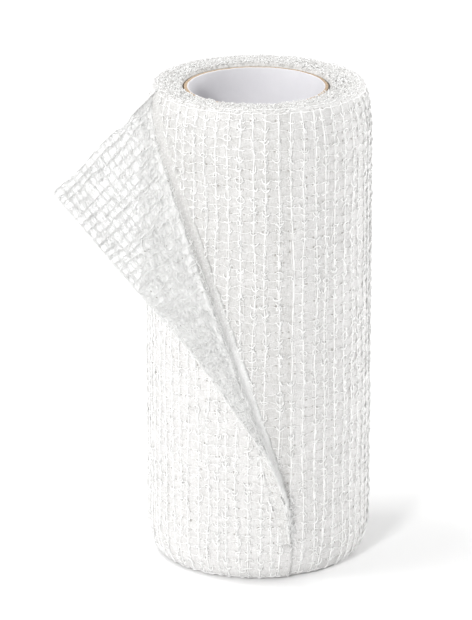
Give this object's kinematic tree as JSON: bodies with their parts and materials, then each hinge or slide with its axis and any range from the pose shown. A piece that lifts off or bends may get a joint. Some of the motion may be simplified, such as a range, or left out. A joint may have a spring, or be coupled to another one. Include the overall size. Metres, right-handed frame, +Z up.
{
  "type": "cohesive bandage roll",
  "caption": "Upright roll of white elastic gauze bandage on a cardboard core, with the upper corner of its free end folded back to the left.",
  "frame": {"origin": "on the surface that the roll stands on, under the middle of the box round the roll and its folded corner; the roll's own axis stands 9.1 mm to the right of it and 5.3 mm behind it", "axes": "+Z up along the roll's axis, -Y towards the front, where the cut end lies, and +X to the right"},
  "size_m": [0.0642, 0.0568, 0.1001],
  "materials": {
    "gauze": "matte",
    "cardboard": "matte"
  },
  "bodies": {
    "root": {"core": "cardboard", "roll": "gauze", "loose_end": "gauze"}
  },
  "joints": []
}
